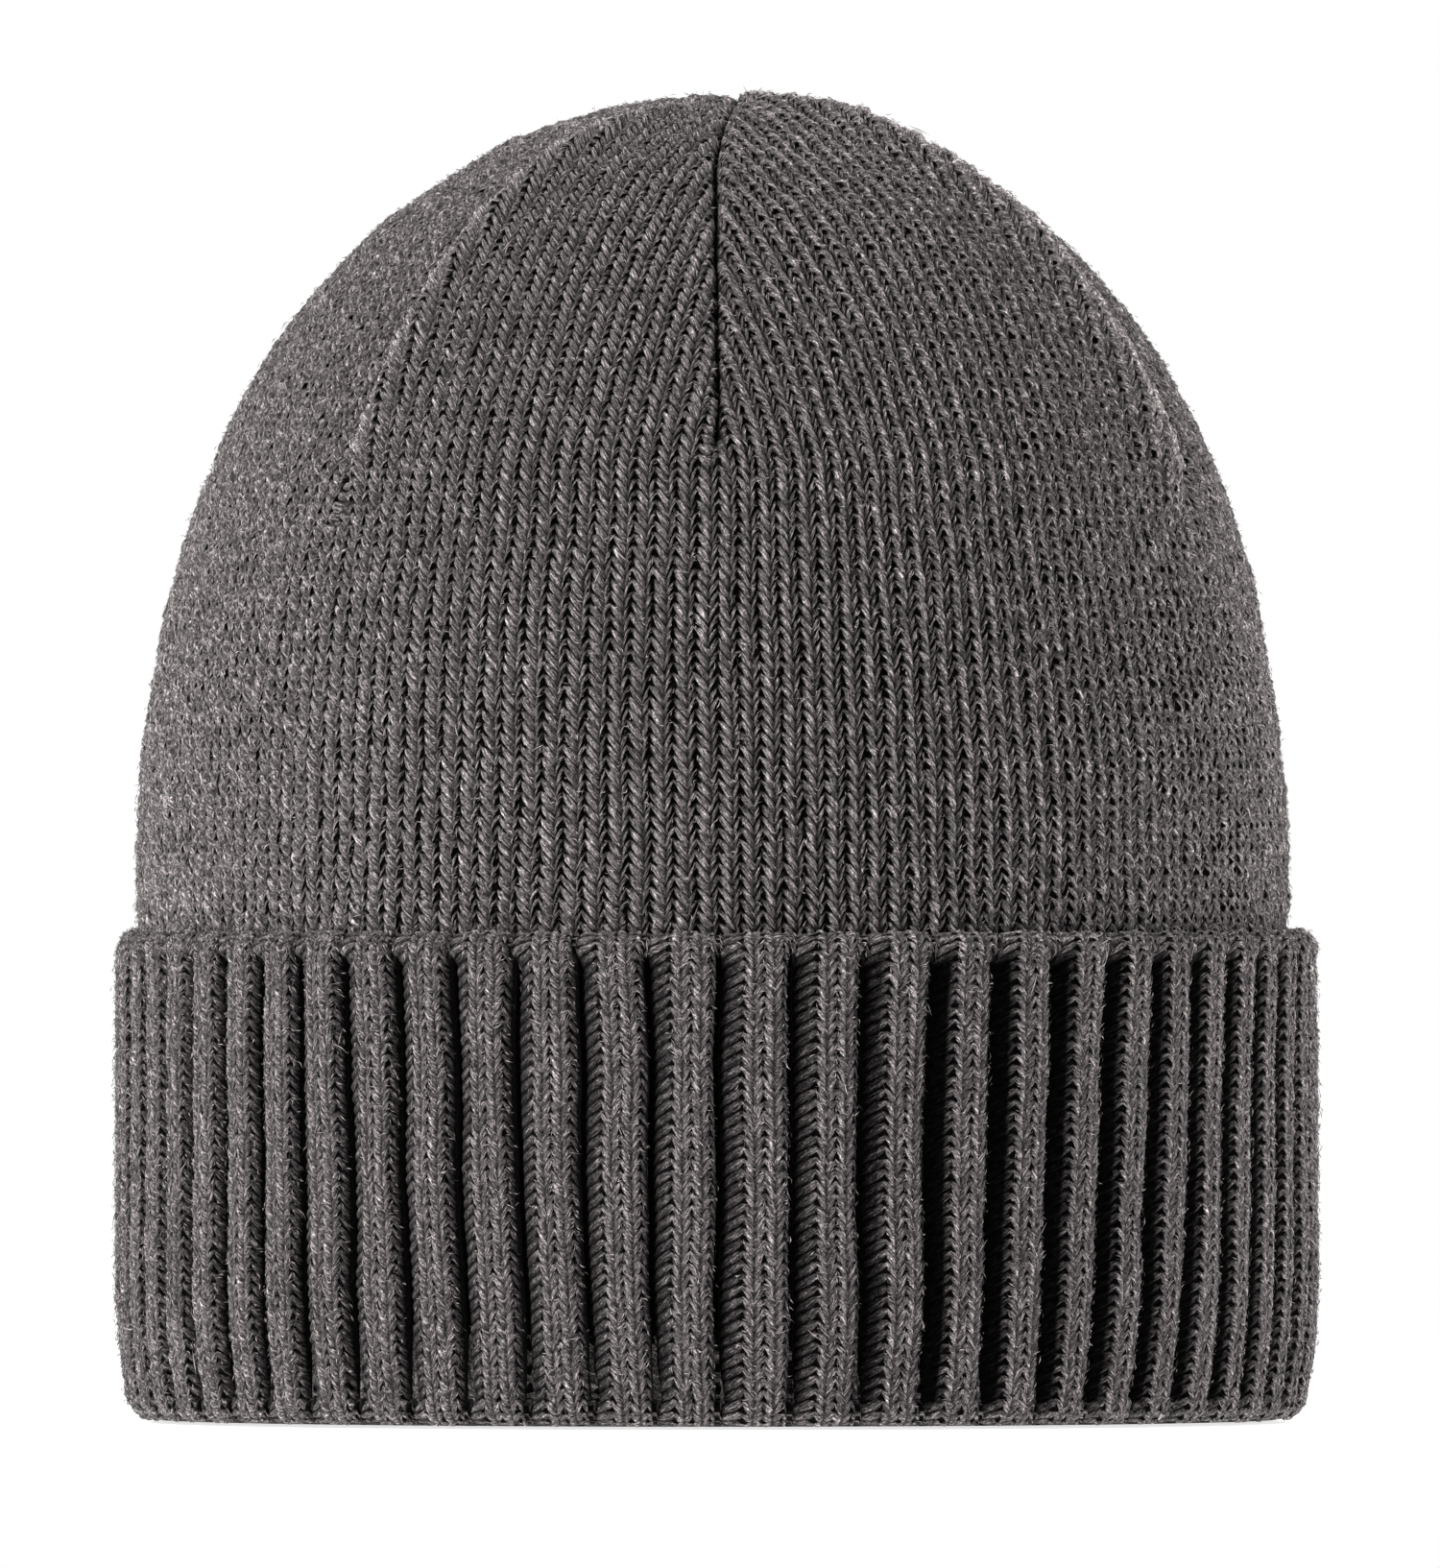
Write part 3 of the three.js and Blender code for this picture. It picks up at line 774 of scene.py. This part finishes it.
def make_fuzz(name, source, count, seed, lowest, reach):
    """Fine fibres over the faces that stand higher than lowest and that reach picks out.

    Each is a slim closed spindle: two tips and a ring of three points between them."""
    rng = np.random.default_rng(seed)
    mesh = source.data
    centre = fetch(mesh.polygons, "center", 3) / MM
    normal = fetch(mesh.polygons, "normal", 3)
    start = fetch(mesh.polygons, "loop_start", 1, int).ravel()
    corner = fetch(mesh.loops, "vertex_index", 1, int).ravel()
    place = fetch(mesh.vertices, "co", 3)
    relief = fetch(mesh.attributes["relief"].data, "value", 1).ravel()
    first, second = corner[start], corner[start + 1]
    good = np.flatnonzero((relief[first] > lowest) & reach(centre, normal))
    chosen = rng.choice(good, count)
    c, n = centre[chosen], normal[chosen]
    lay = unit(place[second[chosen]] - place[first[chosen]] + 1e-9)
    across = np.cross(n, lay)
    tilt = rng.normal(0, 0.45, count)[:, None]
    along = unit(lay * np.cos(tilt) + across * np.sin(tilt))
    length = rng.uniform(0.6, 1.4, count)
    longer = 1 + 1.8 * (rng.random(count) > 0.975)  # one in forty stands well out
    length = (length * longer)[:, None]
    lift = rng.uniform(0.02, 0.16, (count, 1)) + 0.5 * rng.random((count, 1)) ** 6
    far = lift + 0.55 * rng.random((count, 1)) ** 4
    half = along * length / 2
    tips = np.stack([c - half + n * (lift - 0.1), c + half + n * far], 1)
    bend = across * rng.normal(0, 0.16, (count, 1))
    middle = c + n * (lift + 0.08) + bend
    thick = rng.uniform(0.045, 0.08, (count, 1))
    turn = np.arange(3) * 2 * math.pi / 3
    wide = unit(np.cross(along, n))
    rings = [middle + thick * (wide * math.cos(t) + n * math.sin(t)) for t in turn]
    points = np.concatenate([tips, np.stack(rings, 1)], 1)
    base = np.arange(count)[:, None, None] * 5
    fan = [[0, 2 + i, 2 + (i + 1) % 3] for i in range(3)] + [[1, 2 + (i + 1) % 3, 2 + i] for i in range(3)]
    tris = (base + np.array(fan)[None]).reshape(-1, 3)
    side = math.ceil(math.sqrt(count))
    cell = np.stack([np.arange(count) % side, np.arange(count) // side], 1) / side
    corners = np.array([[0.2, 0.2], [0.8, 0.2], [0.5, 0.8]]) / side
    uv = (cell[:, None, None] + corners[None, None]).repeat(6, 1).reshape(-1, 3, 2)
    shade = np.repeat(rng.random(count), 5)
    empty = np.zeros((0, 4, 2))
    return make_mesh(
        name, points.reshape(-1, 3), np.zeros((0, 4), int), tris,
        {"OFBake": (empty, uv), "knit": (empty, uv)}, shade,
    )


# ------------------------------ materials

WARMTH = 1.11  # red over green and blue in the yarn's greys


class Nodes:
    """Helper for writing node trees in few lines."""

    def __init__(self, name):
        self.material = bpy.data.materials.new(name)
        self.material.use_nodes = True
        self.tree = self.material.node_tree
        self.bsdf = self.tree.nodes["Principled BSDF"]

    def put(self, socket, value):
        if isinstance(value, bpy.types.NodeSocket):
            self.tree.links.new(value, socket)
        else:
            socket.default_value = value

    def math(self, operation, *values, clamp=False):
        node = self.tree.nodes.new("ShaderNodeMath")
        node.operation = operation
        node.use_clamp = clamp
        for socket, value in zip(node.inputs, values):
            self.put(socket, value)
        return node.outputs[0]

    def mul(self, a, b, clamp=False):
        return self.math("MULTIPLY", a, b, clamp=clamp)

    def add(self, a, b, clamp=False):
        return self.math("ADD", a, b, clamp=clamp)

    def attribute(self, name):
        node = self.tree.nodes.new("ShaderNodeAttribute")
        node.attribute_name = name
        return node.outputs["Fac"]

    def uv(self, name):
        node = self.tree.nodes.new("ShaderNodeUVMap")
        node.uv_map = name
        split = self.tree.nodes.new("ShaderNodeSeparateXYZ")
        self.put(split.inputs[0], node.outputs[0])
        return split.outputs[0], split.outputs[1]

    def vector(self, x, y, z=0.0):
        node = self.tree.nodes.new("ShaderNodeCombineXYZ")
        for socket, value in zip(node.inputs, (x, y, z)):
            self.put(socket, value)
        return node.outputs[0]

    def noise(self, vector, scale, detail=2.0, rough=0.5):
        node = self.tree.nodes.new("ShaderNodeTexNoise")
        self.put(node.inputs["Vector"], vector)
        node.inputs["Scale"].default_value = scale
        node.inputs["Detail"].default_value = detail
        node.inputs["Roughness"].default_value = rough
        return node.outputs[0]

    def ramp(self, value, *stops):
        node = self.tree.nodes.new("ShaderNodeValToRGB")
        self.put(node.inputs[0], value)
        elements = node.color_ramp.elements
        while len(elements) < len(stops):
            elements.new(0.5)
        for element, (place, colour) in zip(elements, stops):
            element.position = place
            element.color = (*colour, 1)
        return node.outputs[0]

    def mix(self, kind, fac, a, b):
        node = self.tree.nodes.new("ShaderNodeMix")
        node.data_type = "RGBA"
        node.blend_type = kind
        self.put(node.inputs[0], fac)
        self.put(node.inputs[6], a)
        self.put(node.inputs[7], b)
        return node.outputs[2]

    def stretch(self, x, y, across, up):
        """A place in the knit, for a texture drawn out by across and up."""
        return self.vector(self.mul(x, across), self.mul(y, up))

    def greys(self, value, *stops):
        """A ramp of the yarn's slightly warm greys, from (place, level) pairs."""
        return self.ramp(value, *[(place, (level * WARMTH, level, level)) for place, level in stops])

    def surface(self, colour, roughness):
        self.put(self.bsdf.inputs["Base Color"], colour)
        self.put(self.bsdf.inputs["Roughness"], roughness)

    def bump(self, height, strength, distance):
        node = self.tree.nodes.new("ShaderNodeBump")
        node.inputs["Strength"].default_value = strength
        node.inputs["Distance"].default_value = distance
        self.put(node.inputs["Height"], height)
        self.put(self.bsdf.inputs["Normal"], node.outputs[0])


def knit_material(name, holes, calm_rows=None):
    """Marl yarn in the knit's own coordinates. Between the calm rows the stitches draw together."""
    m = Nodes(name)
    x, y = m.uv("knit")
    # Fibres slant along the legs of the stitches, and change from dark to pale by whole strands.
    strands = m.vector(m.mul(x, 3.6), m.add(m.mul(y, 5.2), m.mul(x, 2.6)))
    fibre = m.noise(strands, 1.0, 3.0, 0.75)
    patches = m.noise(m.stretch(x, y, 1.4, 1.9), 1.0, 2.0, 0.7)
    colour = m.greys(fibre, (0.36, 0.02), (0.46, 0.085), (0.55, 0.19), (0.64, 0.58))
    shade = m.add(m.mul(patches, 1.35), 0.35)
    # Painted shade where the relief is low, deep between the yarns; over 1 it marks a painted highlight
    # along a high fold.
    relief = m.attribute("relief")
    hollow = m.math("POWER", m.mul(relief, 1.2, clamp=True), 1.25)
    fold_highlight = m.mul(m.math("SUBTRACT", relief, 1.0), 4.0, clamp=True)
    # Painted shade in holes where the loops of two wales pull apart, one to a course and larger in some
    # places.
    beside = m.math("PINGPONG", x, 0.5)
    level = m.math("PINGPONG", y, 0.5)
    torn = m.mul(m.noise(m.vector(x, y), 1.9, 1.0, 0.5), holes)
    loose = m.noise(m.stretch(x, y, 0.09, 0.12), 1.0, 1.0, 0.5)
    tight = m.mul(loose, 0.12)
    if calm_rows:
        low, high = calm_rows
        calm = m.mul(m.math("SUBTRACT", y, low), 1 / (high - low), clamp=True)
        tight = m.add(m.mul(calm, 0.07), tight)
    hole = m.math("SUBTRACT", m.add(beside, m.mul(level, 0.66)), torn)
    hole_shade = m.add(m.mul(m.add(hole, tight), 9.0), 0.36, clamp=True)
    # The painted fold highlight lifts the painted hole shade; dark is the painted shade from the relief
    # plus the painted highlight.
    rim = m.math("MAXIMUM", hole_shade, fold_highlight)
    dark = m.add(m.mul(hollow, 1.15), m.mul(fold_highlight, 1.45))
    # Single fibres, a few tenths of a millimetre apart.
    place_in_cloth = m.tree.nodes.new("ShaderNodeTexCoord").outputs["Object"]
    speck = m.math("SUBTRACT", m.mul(m.noise(place_in_cloth, 3400.0, 1.0, 0.6), 3.2), 0.6)
    both = m.mul(m.mul(shade, dark), m.mul(rim, speck))
    both = m.math("MAXIMUM", both, 0.015)
    m.surface(m.mix("MULTIPLY", 1.0, colour, m.vector(both, both, both)), 0.92)
    m.put(m.bsdf.inputs["Specular IOR Level"], m.mul(both, 0.12, clamp=True))
    m.put(m.bsdf.inputs["Sheen Weight"], m.add(m.mul(both, 0.2), 0.04, clamp=True))
    m.bsdf.inputs["Sheen Roughness"].default_value = 0.4
    m.bsdf.inputs["Sheen Tint"].default_value = (0.9, 0.88, 0.87, 1)
    m.bump(fibre, 0.8, 0.0005)
    return m.material


def thread_material():
    """Twisted sewing thread."""
    m = Nodes("thread")
    geometry = m.tree.nodes.new("ShaderNodeTexCoord").outputs["Object"]
    wave = m.tree.nodes.new("ShaderNodeTexWave")
    wave.bands_direction = "DIAGONAL"
    wave.inputs["Scale"].default_value = 900
    wave.inputs["Distortion"].default_value = 1.5
    m.put(wave.inputs["Vector"], geometry)
    m.surface(m.greys(wave.outputs["Fac"], (0.2, 0.02), (0.8, 0.075)), 0.7)
    m.bump(wave.outputs["Fac"], 0.6, 0.0002)
    return m.material


def edge_material():
    """Overlock loops over a cut edge."""
    m = Nodes("overlock")
    x, y = m.uv("knit")
    loops = m.math("PINGPONG", m.add(m.mul(y, 0.83), x), 0.5)
    fuzz = m.noise(m.stretch(x, y, 20, 3), 1.0, 3.0, 0.7)
    both = m.add(m.mul(loops, 1.2), m.mul(fuzz, 0.7))
    m.surface(m.greys(both, (0.3, 0.015), (0.6, 0.05), (0.9, 0.12)), 0.9)
    m.bump(both, 0.7, 0.0005)
    return m.material


def label_material():
    """Pale woven tape, a little uneven."""
    m = Nodes("label_cloth")
    x, y = m.uv("knit")
    warp = m.math("PINGPONG", m.mul(x, 2.6), 0.5)
    weft = m.math("PINGPONG", m.mul(y, 3.9), 0.5)
    weave = m.add(warp, weft)
    blotch = m.noise(m.vector(x, y), 0.25, 3.0, 0.6)
    tone = m.add(m.mul(weave, 0.25), m.mul(blotch, 0.5))
    m.surface(m.ramp(tone, (0.25, (0.62, 0.61, 0.58)), (0.6, (0.84, 0.83, 0.80))), 0.65)
    m.bump(weave, 0.4, 0.0002)
    return m.material


def fuzz_material(name):
    """Loose fibres: each has its own shade in the relief attribute."""
    m = Nodes(name)
    shades = m.greys(m.attribute("relief"), (0.0, 0.012), (0.4, 0.07), (0.7, 0.24), (1.0, 0.8))
    m.surface(shades, 0.8)
    return m.material


# ------------------------------ build

def place(piece, material, body, nodes, slot):
    piece.data.materials.append(material)
    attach(piece, body)
    if nodes:
        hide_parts(*nodes)


yarn = knit_material("crown_yarn", 0.66, (30, 62))
rib_yarn = knit_material("rib_yarn", 0.53)
stray = fuzz_material("stray_fibre")

crown = crown_object()
place(crown, yarn, "hat", ["crown"], "crown_knit")
cuff = make_cuff()
place(cuff, rib_yarn, "turn_up", ["cuff"], "rib_knit")
band = make_band()
place(band, rib_yarn, "hat", ["rib_band"], "rib_knit")

overlock = edge_material()
dart_nodes = ("front", "right", "back_right", "back", "back_left", "left")
for dart_name, (azimuth, start_z, _) in zip(dart_nodes, DARTS):
    node = "dart_seam_" + dart_name
    place(dart_edge(node, azimuth, start_z), overlock, "hat", [node], "seam_edge")

place(make_label(), label_material(), "label", ["care_label"], "label_tape")
sewing = thread_material()
place(make_cuff_seam(), sewing, "turn_up", ["cuff_seam_thread"], "sewing_thread")
for node_name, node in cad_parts.items():
    if "thread" in node_name or node_name in ("top_knot", "label_stitches"):
        node.data.materials.clear()
        node.data.materials.append(sewing)


def outside_crown(centre, normal):
    """Which faces are on the crown's outer side, above the cuff."""
    return (centre[:, 2] > CUFF_TOP - 1) & (np.sum(centre * normal, 1) > 0)


def outside_cuff(centre, normal):
    """Which faces are on the ribs' outer side, off the ground."""
    outward = centre[:, 0] * normal[:, 0] + centre[:, 1] * normal[:, 1] / DEPTH**2
    crest = (centre[:, 0] ** 2 + (centre[:, 1] / DEPTH) ** 2) > (CUFF_R - 2.2) ** 2
    return (outward > 0) & crest & (centre[:, 2] > 1.5)


CROWN_FIBRES, CUFF_FIBRES = 80000, 64000
crown_fuzz = make_fuzz("crown_fuzz", crown, CROWN_FIBRES, 71, 0.45, outside_crown)
place(crown_fuzz, stray, "hat", [], "crown_knit")
cuff_fuzz = make_fuzz("cuff_fuzz", cuff, CUFF_FIBRES, 72, 0.3, outside_cuff)
place(cuff_fuzz, stray, "turn_up", [], "rib_knit")

# ------------------------------ stage

scene = bpy.context.scene
scene.view_settings.view_transform = "Standard"
scene.view_settings.look = "None"

FLOOR_HALF = 1.2
FLOOR_Z = -0.0004
floor_mesh = bpy.data.meshes.new("floor")
floor_corners = [(x * FLOOR_HALF, y * FLOOR_HALF, FLOOR_Z) for x, y in ((-1, -1), (1, -1), (1, 1), (-1, 1))]
floor_mesh.from_pydata(floor_corners, [], [(0, 1, 2, 3)])
floor = bpy.data.objects.new("floor", floor_mesh)
scene.collection.objects.link(floor)
pale = Nodes("pale_floor")
pale.surface((0.86, 0.86, 0.86, 1), 0.8)
pale.bsdf.inputs["Emission Color"].default_value = (1, 1, 1, 1)
pale.bsdf.inputs["Emission Strength"].default_value = 0.75
floor_mesh.materials.append(pale.material)
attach(floor, "turn_up")  # the hat always stands on its lower edge

# The background is white to the camera and dimmer as a light.
world = bpy.data.worlds.new("studio")
scene.world = world
world.use_nodes = True
tree = world.node_tree
background = tree.nodes["Background"]
background.inputs[0].default_value = (1, 1, 1, 1)
path = tree.nodes.new("ShaderNodeLightPath")
strength = tree.nodes.new("ShaderNodeMapRange")
tree.links.new(path.outputs["Is Camera Ray"], strength.inputs["Value"])
strength.inputs["To Min"].default_value = 0.15
strength.inputs["To Max"].default_value = 1.0
tree.links.new(strength.outputs[0], background.inputs[1])


LAMP_AIM = Vector((0, 0, 0.1))


def area_light(name, place, size, power):
    """A soft round lamp, aimed at the middle of the hat."""
    data = bpy.data.lights.new(name, "AREA")
    data.shape = "DISK"
    data.size = size
    data.energy = power
    lamp = bpy.data.objects.new(name, data)
    lamp.location = place
    lamp.rotation_euler = (LAMP_AIM - Vector(place)).to_track_quat("-Z", "Y").to_euler()
    scene.collection.objects.link(lamp)


area_light("key", (-1.05, -0.9, 0.85), 0.5, 19)
area_light("fill", (1.2, -0.8, 0.5), 0.6, 3.4)
area_light("rim_left", (-1.2, 0.1, 0.9), 0.6, 2)
area_light("rim_right", (0.95, 0.3, 1.2), 0.6, 11)

VIEW_HEIGHT = 0.2236  # what the picture takes in at the hat, in metres
VIEW_MIDDLE = (0.0004, 0.0906)  # x and z
DISTANCE = 8.0
SENSOR = 24
camera_data = bpy.data.cameras.new("camera")
camera_data.sensor_fit = "VERTICAL"
camera_data.sensor_height = SENSOR
camera_data.lens = DISTANCE * SENSOR / VIEW_HEIGHT
camera_data.clip_end = 50
camera = bpy.data.objects.new("camera", camera_data)
camera.location = (VIEW_MIDDLE[0], -DISTANCE, VIEW_MIDDLE[1])
camera.rotation_euler = (math.pi / 2, 0, 0)
scene.collection.objects.link(camera)
scene.camera = camera
